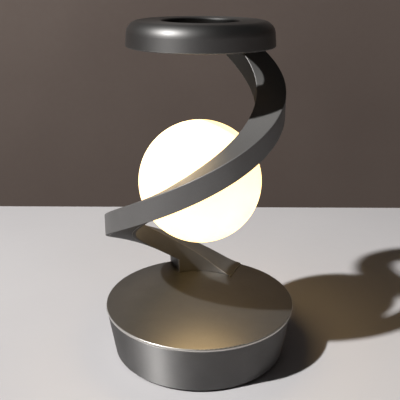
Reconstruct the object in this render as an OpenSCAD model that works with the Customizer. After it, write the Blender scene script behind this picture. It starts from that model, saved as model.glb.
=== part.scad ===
// Rotating table lamp: a lit globe held in a rising spiral arm under a flat ring.
// The arm, globe and ring turn with the top plate of the base, driven by a small gear motor.
// Millimetres, +Z up, origin on the table under the centre of the base.

/* [Base] */
// Outer diameter of the turntable rim, the widest circle of the lamp
base_top_d = 100; // [97:0.5:106]
// Outer diameter of the housing's side, carried on down to the table
base_bottom_d = 91.2; // [88:0.2:97]
// Height of the turntable's top face above the table
base_h = 27.1; // [24.3:0.1:32]
// Wall of the housing, measured level
base_wall = 2.2; // [1.6:0.1:2.8]
// Bevel round the housing's lower edge
base_edge = 0.5; // [0.3:0.1:0.8]
// Height of the housing's lower edge above the table
foot_gap = 0.9; // [0.6:0.1:1.6]
// Open seam between the housing and the turntable
seam_gap = 0.4; // [0.3:0.05:0.8]
// Thickness of the deck that carries the drive
deck_t = 2; // [1.6:0.1:2.6]
// Thickness of the bottom cover
cover_t = 2; // [1.6:0.1:2.6]
// Radial width of the rubber foot ring
foot_w = 6; // [4:0.5:8]

/* [Turntable] */
// Thickness of the turntable inside its rim
plate_t = 2.8; // [2.6:0.1:3.4]
// Thickness of the rim that shows above the seam
rim_t = 1.2; // [1:0.1:1.6]
// Radius of the rim's rounded upper edge
rim_round = 0.6; // [0.3:0.1:0.9]
// Diameter of the spindle
spindle_d = 10; // [8:0.5:11]
// Thickness of the spindle's flange
flange_t = 1.4; // [1:0.1:1.8]

/* [Drive] */
// Tooth size, pitch diameter over number of teeth
gear_module = 0.8; // [0.75:0.01:0.85]
// Teeth of the motor's pinion
pinion_teeth = 18; // [17:1:20]
// Teeth of the driven gear under the turntable
gear_teeth = 54; // [52:1:56]
// Face width of the driven gear
gear_face = 3.2; // [2.8:0.1:3.8]
// Play between the teeth along the pitch circle
gear_backlash = 0.16; // [0.1:0.02:0.3]
// Diameter of the gear motor
motor_d = 24; // [20:0.5:25]
// Height of the gear motor
motor_h = 12; // [10:0.5:12]
// Diameter of the motor shaft
shaft_d = 3; // [2:0.25:4]
// Length of the spindle's bush
bush_len = 6.5; // [5:0.25:7.5]
// Wall of the spindle's bush
bush_wall = 2; // [1.5:0.1:2.5]

/* [Spiral arm] */
// Angle in degrees, seen from above, at which the arm's middle line leaves the turntable
arm_start_deg = 78; // [60:1:100]
// Degrees that the middle line turns through on its way up to the ring
arm_sweep_deg = 339; // [320:1:350]
// Height from the turntable up to the underside of the ring
arm_rise = 133.7; // [128:0.1:142]
// How far the rise runs ahead of an even climb, as a share of it
arm_bow_share = 0.06; // [0:0.01:0.12]
// How late the arm draws in towards the ring: 1 is an even cone
arm_flare = 2.4; // [1.6:0.1:2.8]
// Upright height of the arm's section
arm_h = 11.4; // [11:0.1:13]
// Level width of the arm's section at the foot
arm_foot_w = 16.6; // [15:0.1:18]
// Level width of the arm's section at the ring
arm_top_w = 13.4; // [12:0.1:15]
// Inset of the arm's outer face from the edges of the turntable and the ring
arm_inset = 0.4; // [0.2:0.1:1.2]
// Bevel along the arm's edges
arm_edge = 0.4; // [0.2:0.05:0.6]
// Side walls of the arm beside its wire channel
arm_wall = 2; // [1.6:0.1:2.4]
// Roof of the wire channel, and thickness of the strip that closes it
arm_roof = 1.8; // [1.4:0.1:2]
// Degrees of the solid foot under the arm, from the start of the middle line
foot_span_deg = 33; // [28:1:36]
// Height over which the arm's top face eases down onto the turntable
arm_ease = 4.7; // [2:0.1:6]
// How much wider the arm's section gets towards the tip of its foot
arm_toe = 2; // [0.5:0.1:3]
// Degrees by which the tip's outer corner stands back from its inner one
toe_skew_deg = 5; // [0:0.5:8]

/* [Globe] */
// Outer diameter of the globe
globe_d = 62; // [56:0.2:63]
// Height of the globe's centre above the turntable
globe_rise = 66.7; // [62:0.1:72]
// Wall of the globe
globe_wall = 1.6; // [1.2:0.1:2.2]
// Space between the globe and the arm's inner face
globe_gap = 0.4; // [0.3:0.05:0.8]
// Diameter of the lamp holder's spigot through the arm
spigot_d = 5.6; // [5:0.1:5.8]
// Diameter of the board that carries the lights
led_board_d = 24; // [20:0.5:30]

/* [Ring] */
// Outer diameter of the ring's lower edge
ring_d = 70.8; // [68:0.2:76]
// Height of the ring
ring_h = 11.6; // [11:0.1:14]
// Diameter of the hole through the ring
ring_hole_d = 36; // [32:0.5:38]
// Radius of the ring's rounded upper shoulder
ring_round = 6; // [4:0.25:7]
// Bevel round the ring's lower edge
ring_edge = 0.4; // [0.2:0.1:0.8]
// Radius of the edge round the hole
ring_hole_round = 1.4; // [0.6:0.1:2]
// Lean of the ring's side wall
ring_draft = 5; // [2:0.5:7]
// Wall of the ring
ring_wall = 2; // [1.6:0.1:2.4]
// Thickness of the plate that closes the ring below
ring_plate_t = 2; // [1.8:0.1:2.6]

/* [Electrics] */
// Width of the rechargeable cell
cell_w = 30; // [26:0.5:32]
// Length of the rechargeable cell
cell_l = 42; // [36:0.5:44]
// Thickness of the rechargeable cell
cell_t = 6; // [5:0.25:7]
// Width of the main board
board_w = 36; // [34:0.5:37]
// Depth of the main board, from front to back
board_l = 19; // [18:0.5:19]
// Thickness of the main board
board_t = 1.2; // [1:0.1:1.6]
// Distance of the charging inlet and the button from the middle of the back
port_x = 8; // [7:0.25:9]
// Diameter of the button
button_d = 7; // [6:0.25:7.5]
// How far the button stands proud of the wall
button_proud = 1; // [0.8:0.1:1.4]
// Travel of the button
button_travel = 0.6; // [0.4:0.05:0.8]

/* [Fits and fasteners] */
// Radial clearance of a turning fit
run_clear = 0.03; // [0.02:0.01:0.08]
// Radial clearance of a seated piece
seat_clear = 0.05; // [0.03:0.01:0.1]
// Clearance round a piece that drops into its place
drop_clear = 0.2; // [0.15:0.05:0.3]
// Diameter of the small screws
screw_d = 2; // [1.8:0.1:2.2]
// Diameter of the small screws' heads
screw_head_d = 3.6; // [3.2:0.1:3.8]
// Height of the small screws' heads
screw_head_h = 1.1; // [0.9:0.1:1.2]
// Diameter of the bosses that take screws
boss_d = 6; // [5:0.25:6]
// Diameter of the lead to the lights
lead_d = 1.6; // [1.2:0.1:1.8]

/* [Hidden] */
$fn = 96;
over = 1;

// Radii of the housing's side at a height
function wall_r(z) = base_bottom_d / 2 + (base_top_d - base_bottom_d) / 2 * z / base_h;
function wall_in(z) = wall_r(z) - base_wall;

// Levels in the base, from the turntable down
rim_r = base_top_d / 2;
plate_z = base_h - plate_t;
seam_z = base_h - rim_t - seam_gap;
lip_clear = 0.6;
lip_r = wall_in(plate_z) - lip_clear;
gear_z = plate_z - gear_face;
washer_t = 0.5;
washer_z = gear_z - washer_t;
bush_flange_t = 0.6;
deck_top = washer_z - bush_flange_t;
deck_z = deck_top - deck_t;
bush_z = deck_top - bush_len;
cover_top = foot_gap + cover_t;
cover_r = wall_in(foot_gap) - drop_clear;

// Spindle and its bush
spindle_r = spindle_d / 2;
bush_bore_r = spindle_r + run_clear;
bush_r = bush_bore_r + bush_wall;
bush_flange_r = bush_r + 2;
bush_boss_r = bush_r + seat_clear + 2;
flange_w = 4;
flange_r = spindle_r + flange_w;
clip_t = 0.6;
clip_play = 0.2;
clip_z = bush_z - clip_play - clip_t;
clip_groove_r = spindle_r - 0.8;
clip_r = spindle_r + 1.6;
spindle_z = clip_z - 0.9;

// Gears
gear_r = gear_module * gear_teeth / 2;
pinion_r = gear_module * pinion_teeth / 2;
gear_distance = gear_r + pinion_r;
tooth_steps = 4;
pinion_clear = 0.4;
pinion_z = gear_z - pinion_clear;
pinion_face = gear_face;
gear_root_r = gear_r - 1.25 * gear_module;
gear_screw_r = gear_root_r - screw_head_d / 2 - 0.2;
gear_screw_angles = [30, 150, 270];

// Slip ring under the gear and its brushes
slip_t = 1;
slip_track_t = 0.2;
slip_in = bush_flange_r + 0.2;
slip_out = gear_screw_r - screw_head_d / 2 - drop_clear - 0.3;
slip_track_w = (slip_out - slip_in) / 4;
slip_tracks = [for (k = [1, 3]) slip_in + slip_track_w * (k + (k - 2) * 0.1)];
brush_gap = 0.1;
brush_w = 1.6;
brush_block_in = bush_boss_r + 0.4;
brush_block_out = slip_out + 0.8;
brush_block_w = 6;
brush_block_drop = 3.2;

// Motor
motor_boss_r = shaft_d / 2 + 1.9;
motor_boss_h = deck_t * 0.8;
motor_bore_depth = 6;
motor_ear_t = 1.2;
motor_ear_w = 7;
motor_ear_out = 3.5;
motor_ear_reach = motor_d / 2 + motor_ear_out;

// Bottom cover, its screws and the foot ring
cover_boss_angles = [50, 180, 310];
cover_screw_bore = 6;
screw_end_clear = 0.5;
foot_edge = 1.2;
foot_seat = 0.7;
foot_out = cover_r - foot_edge;
foot_in = foot_out - foot_w;
cover_boss_r = foot_in - boss_d / 2;

// Cell, main board, inlet and button
cell_gap = 1.5;
cell_fold = 2;
cell_seal_l = 4;
cell_seal_t = 0.8;
cell_x = -(cover_boss_r - boss_d / 2 - cell_gap) + cell_w / 2;
inlet_w = 9;
inlet_h = 3.2;
inlet_l = 7.4;
inlet_shell = 0.4;
inlet_clear = 0.25;
button_r = button_d / 2;
button_flange_r = button_r + 0.8;
button_flange_t = 1;
button_clear = 0.12;
port_z = deck_z - button_flange_r - 0.5;
board_top = port_z - inlet_h / 2;
board_z = board_top - board_t;
board_post_h = board_z - cover_top;
board_post_floor = 2;
port_y = sqrt(pow(wall_r(port_z), 2) - pow(port_x, 2));
inlet_y = port_y - base_wall / 2;
button_flange_y = sqrt(pow(wall_in(port_z - button_flange_r), 2) - pow(port_x + button_flange_r, 2)) - 0.3;
button_face_y = port_y + button_proud;
switch_w = 6;
switch_h = inlet_h + 0.4;
switch_l = 4.4;
plunger_d = 2.4;
plunger_reach = 1.4;
plunger_depth = 2;
plunger_clear = 0.08;
switch_y = button_flange_y - button_flange_t - plunger_reach;
board_back = switch_y + 0.4;
board_post_y = board_back - board_l / 2;
cell_y = board_back - board_l - cell_gap - cell_l / 2;
board_post_inset = 4;
board_post_x = board_w / 2 - board_post_inset;

// Spiral arm: radii and levels along its angle
ring_z = base_h + arm_rise;
ring_r = ring_d / 2;
arm_foot_r = rim_r - arm_inset;
arm_top_r = ring_r - arm_inset;
arm_tip = 0.8;
arm_step_deg = 5;
arm_nick_deg = 0.4;
foot_end = arm_start_deg + foot_span_deg;
globe_z = base_h + globe_rise;
globe_r = globe_d / 2;
function arm_t(a) = (a - arm_start_deg) / arm_sweep_deg;
function arm_mid(a) = base_h + arm_rise * arm_t(a) * (1 + arm_bow_share * (1 - arm_t(a)));
function arm_angle(z) = let (s = (z - base_h) / arm_rise, b = 1 + arm_bow_share)
    arm_start_deg + arm_sweep_deg * 2 * s / (b + sqrt(b * b - 4 * arm_bow_share * s));
function arm_out(a) = arm_foot_r - (arm_foot_r - arm_top_r) * pow(min(max(arm_t(a), 0), 1), arm_flare);
arm_first = arm_angle(base_h + arm_tip - arm_h / 2 - arm_ease);
function toe_share(a) = max(0, (arm_start_deg - a) / (arm_start_deg - arm_first));
function arm_width(a) = arm_foot_w + (arm_top_w - arm_foot_w) * arm_t(a) + arm_toe * pow(toe_share(a), 2);
function arm_low(a) = a <= foot_end ? base_h : arm_mid(a) - arm_h / 2;
// Ramp that is level below a bend, climbs evenly above it, and eases from one to the other
function eased(u, w) = u >= w ? u : u <= -w ? 0 : (u + w) * (u + w) / (4 * w);
function arm_high(a) = min(ring_z,
    base_h + arm_tip + eased(arm_mid(a) + arm_h / 2 - base_h - arm_tip, arm_ease));
// The inner face is hollowed where the globe would reach it
function globe_reach(a) = let (d = max(arm_low(a) - globe_z, globe_z - arm_high(a), 0))
    d < globe_r ? sqrt(globe_r * globe_r - d * d) + globe_gap : 0;
function arm_in(a) = max(arm_out(a) - arm_width(a), globe_reach(a));

arm_crease = arm_angle(ring_z - arm_h / 2);
arm_last = arm_angle(ring_z - arm_tip + arm_h / 2);
channel_run_deg = 12;
channel_first = foot_end - channel_run_deg;
channel_last = arm_crease - 3;
channel_nick = 0.1;
cover_tab_deg = 2.5;
function in_channel(a) = a >= channel_first && a <= channel_last;
function arm_ceiling(a) = in_channel(a) ? arm_high(a) - arm_roof : arm_low(a) + channel_nick;

// Angles from one stop to the next in even steps, without the last stop
function steps_between(a, b) = let (n = max(1, ceil((b - a) / arm_step_deg)))
    [for (i = [0:n - 1]) a + (b - a) * i / n];
function stations(stops) = [for (k = [0:len(stops) - 2]) each steps_between(stops[k], stops[k + 1]),
    stops[len(stops) - 1]];

// Foot and top fixings of the arm
foot_screw_angles = [arm_start_deg + 6, arm_start_deg + 14];
foot_screw_r = arm_foot_r - arm_foot_w / 2;
foot_screw_depth = 4.5;
top_screw_angle = arm_crease + 4;
top_screw_in = arm_top_r - arm_top_w * 0.72;
top_screw_out = arm_top_r - arm_top_w * 0.34;
top_screw_depth = 4;

// Lamp holder, on the line from the globe's centre to the arm
holder_angle = arm_angle(globe_z);
globe_in = globe_r - globe_wall;
holder_flange_w = 5;
holder_flange_r = spigot_d / 2 + holder_flange_w;
holder_flange_x = sqrt(pow(globe_in, 2) - pow(holder_flange_r, 2)) - 0.1;
holder_flange_t = 1.6;
holder_post_r = spigot_d / 2 + 1;
holder_bore_r = spigot_d / 2 - 1.2;
holder_lip = 0.3;
holder_lip_l = 1.2;
holder_wall_x = arm_in(holder_angle) + arm_wall;
holder_seat_r = led_board_d / 4;
holder_seat_t = 1.6;
led_board_t = 1.2;
led_count = 8;
led_size = 3;
led_t = 0.9;

// Ring
ring_top = ring_z + ring_h;
ring_hole_r = ring_hole_d / 2;
ring_centre_z = ring_top - ring_round;
ring_centre_r = ring_r - (ring_centre_z - ring_z) * tan(ring_draft) - ring_round / cos(ring_draft);
ring_screw_angles = [0, 120, 240];
ring_screw_r = (ring_r + ring_hole_r) / 2;
ring_boss_d = screw_d + 3;
ring_plate_out = ring_r - ring_wall / cos(ring_draft) - ring_plate_t * tan(ring_draft) - drop_clear;
ring_plate_in = ring_hole_r + ring_wall + drop_clear;
ring_screw_bore = ring_h - ring_wall - ring_plate_t - 0.6;

// Lead from the slip ring, through the turntable, up the arm to the lamp holder
lead_angle = channel_first + 5;
lead_from_r = (slip_in + slip_out) / 2;
lead_groove_d = lead_d + 0.4;
lead_side_count = 8;
lead_last = holder_angle - 7;
function lead_r(a) = (arm_in(a) + arm_out(a)) / 2;

body_paint = "#3c3c3f";
plastic = "#2a2a2c";
steel = "#b4b6ba";
copper = "#b87333";

// Point at a radius, angle and height
function polar(r, a, z) = [r * cos(a), r * sin(a), z];

// Closed skin through a list of rings that all have the same number of points
module loft(rings) {
    n = len(rings[0]);
    m = len(rings);
    sides = [for (i = [0:m - 2], j = [0:n - 1]) let (k = (j + 1) % n)
        each [[i * n + j, i * n + k, (i + 1) * n + k], [i * n + j, (i + 1) * n + k, (i + 1) * n + j]]];
    first_cap = [for (j = [n - 1:-1:0]) j];
    last_cap = [for (j = [0:n - 1]) (m - 1) * n + j];
    polyhedron(points = [for (r = rings) each r], faces = concat(sides, [first_cap, last_cap]));
}

// Small pan-head screw standing on its head's seat at z = 0, with the shank up
module screw(length) {
    translate([0, 0, -screw_head_h]) {
        cylinder(d = screw_d, h = screw_head_h + length);
        cylinder(d = screw_head_d, h = screw_head_h);
    }
}

// Polar angle gained along an involute from its base circle
function involute(base, r) = let (a = acos(base / r)) tan(a) * 180 / PI - a;

// Spur gear outline with involute flanks of 20 degrees
module gear_outline(teeth) {
    pitch = gear_module * teeth / 2;
    base = pitch * cos(20);
    root = pitch - 1.25 * gear_module;
    tip = pitch + gear_module;
    foot = max(base, root);
    half = 90 / teeth - gear_backlash / 4 / pitch * 180 / PI + involute(base, pitch);
    radii = [for (i = [0:tooth_steps]) foot + (tip - foot) * i / tooth_steps];
    flank = [for (r = radii) [r, half - involute(base, r)]];
    rise = concat(base > root ? [[root, flank[0][1]]] : [], flank);
    last = len(rise) - 1;
    tooth = concat([for (p = rise) [p[0], -p[1]]], [for (i = [last:-1:0]) rise[i]]);
    polygon([for (k = [0:teeth - 1], p = tooth)
        [p[0] * cos(p[1] + k * 360 / teeth), p[0] * sin(p[1] + k * 360 / teeth)]]);
}

// Rounded slot of the charging inlet, grown by a margin
module inlet_outline(margin) {
    r = inlet_h / 2 + margin;
    reach = inlet_w / 2 - inlet_h / 2;
    for (s = [-1, 1]) translate([s * reach, 0]) circle(r);
    translate([-reach, -r]) square([2 * reach, 2 * r]);
}

// Rectangle with rounded corners, centred on 0
module soft_rectangle(w, h, r) {
    for (x = [-1, 1], y = [-1, 1]) translate([x * (w / 2 - r), y * (h / 2 - r)]) circle(r);
    square([w - 2 * r, h], center = true);
    square([w, h - 2 * r], center = true);
}

// Children turned so that +Z points to the back of the lamp
module facing_back(x, y, z) {
    translate([x, y, z]) rotate([-90, 0, 0]) children();
}

module at_polar(r, angles, z) {
    for (a = angles) translate(polar(r, a, z)) children();
}

module motor_ear_places() {
    for (s = [-1, 1]) translate([gear_distance, s * motor_ear_reach, deck_z]) children();
}

module base_housing() {
    color(body_paint) difference() {
        union() {
            rotate_extrude() polygon([
                [wall_r(foot_gap) - base_edge, foot_gap],
                [wall_r(foot_gap + base_edge), foot_gap + base_edge], [wall_r(seam_z), seam_z],
                [wall_in(seam_z), seam_z], [wall_in(deck_top), deck_top],
                [bush_r + seat_clear, deck_top], [bush_r + seat_clear, bush_z],
                [bush_boss_r, bush_z], [bush_boss_r, deck_z],
                [wall_in(deck_z), deck_z], [wall_in(foot_gap), foot_gap]
            ]);
            at_polar(cover_boss_r, cover_boss_angles, cover_top)
                cylinder(d = boss_d, h = deck_z - cover_top + 0.01);
        }
        at_polar(cover_boss_r, cover_boss_angles, cover_top - over)
            cylinder(d = screw_d + 2 * seat_clear, h = cover_screw_bore + over);
        translate([gear_distance, 0, deck_z - over])
            cylinder(r = motor_boss_r + seat_clear, h = deck_t + 2 * over);
        motor_ear_places() translate([0, 0, -over])
            cylinder(d = screw_d + 2 * seat_clear, h = deck_t + 2 * over);
        translate([-brush_block_out - seat_clear, -brush_block_w / 2 - seat_clear, deck_z - over])
            cube([brush_block_out - brush_block_in + 2 * seat_clear, brush_block_w + 2 * seat_clear,
                  deck_t + 2 * over]);
        facing_back(port_x, port_y - 3 * base_wall, port_z)
            linear_extrude(5 * base_wall) inlet_outline(inlet_clear);
        facing_back(-port_x, port_y - 3 * base_wall, port_z)
            cylinder(r = button_r + button_clear, h = 5 * base_wall);
    }
}

module bottom_cover() {
    color(plastic) difference() {
        union() {
            translate([0, 0, foot_gap]) cylinder(r = cover_r, h = cover_t);
            for (s = [-1, 1]) translate([s * board_post_x, board_post_y, cover_top - 0.01])
                cylinder(d = boss_d - 1, h = board_post_h + 0.01);
        }
        translate([0, 0, foot_gap - over]) difference() {
            cylinder(r = foot_out + seat_clear, h = foot_seat + over);
            translate([0, 0, -over]) cylinder(r = foot_in - seat_clear, h = foot_seat + 3 * over);
        }
        at_polar(cover_boss_r, cover_boss_angles, foot_gap - over) {
            cylinder(d = screw_d + 2 * drop_clear, h = cover_t + 2 * over);
            cylinder(d = screw_head_d + 2 * drop_clear, h = screw_head_h + over);
        }
        for (s = [-1, 1]) translate([s * board_post_x, board_post_y, cover_top + board_post_floor])
            cylinder(d = screw_d + 2 * seat_clear, h = board_post_h);
    }
}

module foot_ring() {
    color("#1c1c1c") difference() {
        cylinder(r = foot_out, h = foot_gap + foot_seat);
        translate([0, 0, -over]) cylinder(r = foot_in, h = foot_gap + foot_seat + 2 * over);
    }
}

module cover_screws() {
    color(steel) at_polar(cover_boss_r, cover_boss_angles, foot_gap + screw_head_h)
        screw(cover_t - screw_head_h + cover_screw_bore - screw_end_clear);
}

// Pouch with folded long sides and a thin sealed end towards the board
module cell() {
    seal_y = cell_y + cell_l / 2 - cell_seal_l;
    color("#8f9296") {
        translate([cell_x, seal_y, cover_top + cell_t / 2]) rotate([90, 0, 0])
            linear_extrude(cell_l - cell_seal_l) soft_rectangle(cell_w, cell_t, cell_fold);
        translate([cell_x - cell_w / 2 + cell_fold, seal_y - 0.01, cover_top + (cell_t - cell_seal_t) / 2])
            cube([cell_w - 2 * cell_fold, cell_seal_l + 0.01, cell_seal_t]);
    }
}

module main_board() {
    color("#1f5a3a") difference() {
        translate([-board_w / 2, board_back - board_l, board_z]) cube([board_w, board_l, board_t]);
        for (s = [-1, 1]) translate([s * board_post_x, board_post_y, board_z - over])
            cylinder(d = screw_d + 2 * seat_clear, h = board_t + 2 * over);
    }
}

module board_screws() {
    color(steel) for (s = [-1, 1]) translate([s * board_post_x, board_post_y, board_top])
        rotate([180, 0, 0]) screw(board_t + board_post_h - board_post_floor - screw_end_clear);
}

module charging_inlet() {
    color(steel) facing_back(port_x, inlet_y - inlet_l, port_z) difference() {
        linear_extrude(inlet_l) inlet_outline(0);
        translate([0, 0, 1]) linear_extrude(inlet_l) difference() {
            inlet_outline(-inlet_shell);
            square([inlet_w * 0.66, 0.7], center = true);
        }
    }
}

module push_switch() {
    color("#202020") difference() {
        translate([-port_x - switch_w / 2, switch_y - switch_l, board_top])
            cube([switch_w, switch_l, switch_h]);
        facing_back(-port_x, switch_y - plunger_depth - button_travel - plunger_clear, port_z)
            cylinder(d = plunger_d + 2 * plunger_clear, h = 2 * plunger_depth);
    }
}

module switch_plunger() {
    color("#e8e4da") facing_back(-port_x, switch_y - plunger_depth, port_z)
        cylinder(d = plunger_d, h = plunger_depth + plunger_reach);
}

module power_button() {
    dish = 0.5;
    color(plastic) facing_back(-port_x, 0, port_z) difference() {
        union() {
            translate([0, 0, button_flange_y - button_flange_t])
                cylinder(r = button_flange_r, h = button_flange_t);
            translate([0, 0, button_flange_y - 0.01])
                cylinder(r = button_r, h = button_face_y - dish - button_flange_y + 0.01);
            translate([0, 0, button_face_y - dish - 0.01])
                cylinder(r1 = button_r, r2 = button_r - dish, h = dish + 0.01);
        }
        translate([0, 0, button_face_y + 4 * button_d]) sphere(r = 4 * button_d + dish / 2);
    }
}

module gear_motor() {
    color(steel) difference() {
        union() {
            translate([gear_distance, 0, deck_z - motor_h]) cylinder(d = motor_d, h = motor_h);
            translate([gear_distance, 0, deck_z - 0.01]) cylinder(r = motor_boss_r, h = motor_boss_h + 0.01);
            motor_ear_places() translate([0, 0, -motor_ear_t]) cylinder(d = motor_ear_w, h = motor_ear_t);
            translate([gear_distance - motor_ear_w / 2, -motor_ear_reach, deck_z - motor_ear_t])
                cube([motor_ear_w, 2 * motor_ear_reach, motor_ear_t]);
        }
        translate([gear_distance, 0, deck_z - motor_bore_depth])
            cylinder(r = shaft_d / 2 + run_clear, h = motor_bore_depth + deck_t + over);
        motor_ear_places() translate([0, 0, -motor_ear_t - over])
            cylinder(d = screw_d + 2 * seat_clear, h = motor_ear_t + 2 * over);
    }
}

module motor_screws() {
    color(steel) motor_ear_places() translate([0, 0, -motor_ear_t]) screw(motor_ear_t + deck_t - 0.2);
}

module motor_shaft() {
    low = deck_z - motor_bore_depth + 0.3;
    color(steel) translate([gear_distance, 0, low]) cylinder(d = shaft_d, h = pinion_z + pinion_face - low);
}

module pinion() {
    color("#e9e6dc") translate([gear_distance, 0, pinion_z]) difference() {
        rotate(180 + 180 / pinion_teeth) linear_extrude(pinion_face) gear_outline(pinion_teeth);
        translate([0, 0, -over]) cylinder(d = shaft_d + 2 * seat_clear, h = pinion_face + 2 * over);
    }
}

module spindle_bush() {
    color("#b08d57") rotate_extrude() polygon([
        [bush_bore_r, bush_z], [bush_r, bush_z], [bush_r, deck_top],
        [bush_flange_r, deck_top], [bush_flange_r, washer_z], [bush_bore_r, washer_z]
    ]);
}

module thrust_washer() {
    color("#f2f0ea") translate([0, 0, washer_z]) difference() {
        cylinder(r = bush_flange_r, h = washer_t);
        translate([0, 0, -over]) cylinder(r = bush_bore_r + seat_clear, h = washer_t + 2 * over);
    }
}

module brush_block() {
    ledge = 1.6;
    color(plastic) difference() {
        union() {
            translate([-brush_block_out, -brush_block_w / 2, deck_z - brush_block_drop])
                cube([brush_block_out - brush_block_in, brush_block_w, brush_block_drop + deck_t]);
            translate([-brush_block_out - ledge, -brush_block_w / 2 - ledge, deck_z - brush_block_drop])
                cube([brush_block_out - brush_block_in + ledge, brush_block_w + 2 * ledge, brush_block_drop]);
        }
        for (r = slip_tracks) translate([-r, 0, deck_z - brush_block_drop + 1])
            cylinder(d = brush_w + 2 * seat_clear, h = brush_block_drop + deck_t);
    }
}

module brushes() {
    low = deck_z - brush_block_drop + 1;
    color(copper) for (r = slip_tracks) translate([-r, 0, low])
        cylinder(d = brush_w, h = gear_z - slip_track_t - brush_gap - low);
}

module turntable() {
    color(body_paint) difference() {
        rotate_extrude() {
            translate([0, base_h - rim_t]) square([rim_r - rim_round, rim_t]);
            translate([0, base_h - rim_t]) square([rim_r, rim_t - rim_round]);
            translate([rim_r - rim_round, base_h - rim_round]) circle(rim_round);
            translate([0, plate_z]) square([lip_r, plate_t - rim_t + 0.01]);
        }
        translate([0, 0, plate_z - over]) cylinder(r = flange_r + seat_clear, h = flange_t + over);
        at_polar(gear_screw_r, gear_screw_angles, plate_z - over)
            cylinder(d = screw_d + 2 * seat_clear, h = over + plate_t - 0.8);
        at_polar(foot_screw_r, foot_screw_angles, plate_z - over)
            cylinder(d = screw_d + 2 * drop_clear, h = plate_t + 2 * over);
        rotate(lead_angle) {
            translate([lead_from_r, -lead_groove_d / 2, plate_z - over])
                cube([lead_r(lead_angle) - lead_from_r, lead_groove_d, lead_groove_d + over]);
            for (r = [lead_from_r, lead_r(lead_angle)]) translate([r, 0, plate_z - over])
                cylinder(d = lead_groove_d, h = lead_groove_d + over);
            translate([lead_r(lead_angle), 0, plate_z]) cylinder(d = lead_groove_d, h = plate_t + over);
        }
    }
}

module spindle() {
    color(steel) rotate_extrude() polygon([
        [0, spindle_z], [spindle_r - 0.5, spindle_z], [spindle_r, spindle_z + 0.5], [spindle_r, clip_z],
        [clip_groove_r, clip_z], [clip_groove_r, clip_z + clip_t], [spindle_r, clip_z + clip_t],
        [spindle_r, plate_z], [flange_r, plate_z], [flange_r, plate_z + flange_t], [0, plate_z + flange_t]
    ]);
}

module driven_gear() {
    color("#e9e6dc") difference() {
        translate([0, 0, gear_z]) linear_extrude(gear_face) gear_outline(gear_teeth);
        translate([0, 0, gear_z - over]) cylinder(r = spindle_r + seat_clear, h = gear_face + 2 * over);
        translate([0, 0, gear_z - over]) difference() {
            cylinder(r = slip_out + seat_clear, h = slip_t + over);
            translate([0, 0, -over]) cylinder(r = slip_in - seat_clear, h = slip_t + 3 * over);
        }
        at_polar(gear_screw_r, gear_screw_angles, gear_z - over) {
            cylinder(d = screw_d + 2 * drop_clear, h = gear_face + 2 * over);
            cylinder(d = screw_head_d + 0.2, h = screw_head_h + 0.1 + over);
        }
        translate(polar(lead_from_r, lead_angle, gear_z - over))
            cylinder(d = lead_groove_d, h = gear_face + 2 * over);
    }
}

module gear_screws() {
    color(steel) at_polar(gear_screw_r, gear_screw_angles, gear_z + screw_head_h + 0.1)
        screw(gear_face - screw_head_h - 0.1 + plate_t - 1);
}

module retaining_clip() {
    color(steel) translate([0, 0, clip_z]) difference() {
        cylinder(r = clip_r, h = clip_t);
        translate([0, 0, -over]) cylinder(r = clip_groove_r + seat_clear, h = clip_t + 2 * over);
        translate([0, -clip_groove_r * 0.8, -over])
            cube([2 * clip_r, clip_groove_r * 1.6, clip_t + 2 * over]);
    }
}

module slip_ring() {
    color("#245a3c") translate([0, 0, gear_z]) difference() {
        cylinder(r = slip_out, h = slip_t);
        translate([0, 0, -over]) cylinder(r = slip_in, h = slip_t + 2 * over);
    }
}

module slip_ring_tracks() {
    color(copper) for (r = slip_tracks) translate([0, 0, gear_z - slip_track_t]) difference() {
        cylinder(r = r + slip_track_w / 2, h = slip_track_t);
        translate([0, 0, -over]) cylinder(r = r - slip_track_w / 2, h = slip_track_t + 2 * over);
    }
}

// Section of the arm at an angle: bevelled outline with the wire channel open below
function arm_section(a) = let (
        low = arm_low(a), high = arm_high(a), out = arm_out(a), in = arm_in(a),
        e = min(arm_edge, (high - low) / 4), ceiling = arm_ceiling(a),
        wall_out = out - arm_wall, wall_inside = in + arm_wall,
        skew = toe_skew_deg * pow(toe_share(a), 2) / (out - in))
    [for (p = [
        [in + e, low], [wall_inside, low], [wall_inside, ceiling], [wall_out, ceiling], [wall_out, low],
        [out - e, low], [out, low + e], [out, high - e], [out - e, high],
        [in + e, high], [in, high - e], [in, low + e]
    ]) polar(p[0], a + skew * (p[0] - in), p[1])];

module spiral_arm() {
    stops = [arm_first, channel_first - arm_nick_deg, channel_first, foot_end, foot_end + arm_nick_deg,
             channel_last, channel_last + arm_nick_deg, arm_crease, arm_last];
    color(body_paint) difference() {
        loft([for (a = stations(stops)) arm_section(a)]);
        at_polar(foot_screw_r, foot_screw_angles, base_h - over)
            cylinder(d = screw_d + 2 * seat_clear, h = foot_screw_depth + 0.3 + over);
        for (r = [top_screw_in, top_screw_out])
            translate(polar(r, top_screw_angle, ring_z - top_screw_depth - 0.3))
                cylinder(d = screw_d + 2 * seat_clear, h = top_screw_depth + 0.3 + over);
        translate([0, 0, globe_z]) rotate(holder_angle) translate([globe_r - globe_wall, 0, 0])
            rotate([0, 90, 0]) cylinder(d = spigot_d + 2 * drop_clear, h = holder_wall_x + 1.5 - globe_in);
    }
}

// Section of the strip that closes the channel; at the foot it turns down to the turntable
function strip_section(a) = let (
        level = arm_mid(a) - arm_h / 2, low = a <= foot_end ? base_h + 0.1 : level,
        in = arm_in(a) + arm_wall + drop_clear, out = arm_out(a) - arm_wall - drop_clear)
    [for (p = [[in, low], [in, level + arm_roof], [out, level + arm_roof], [out, low]]) polar(p[0], a, p[1])];

module arm_strip() {
    stops = [foot_end - cover_tab_deg, foot_end, foot_end + arm_nick_deg, channel_last - arm_nick_deg];
    color(body_paint) loft([for (a = stations(stops)) strip_section(a)]);
}

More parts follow.
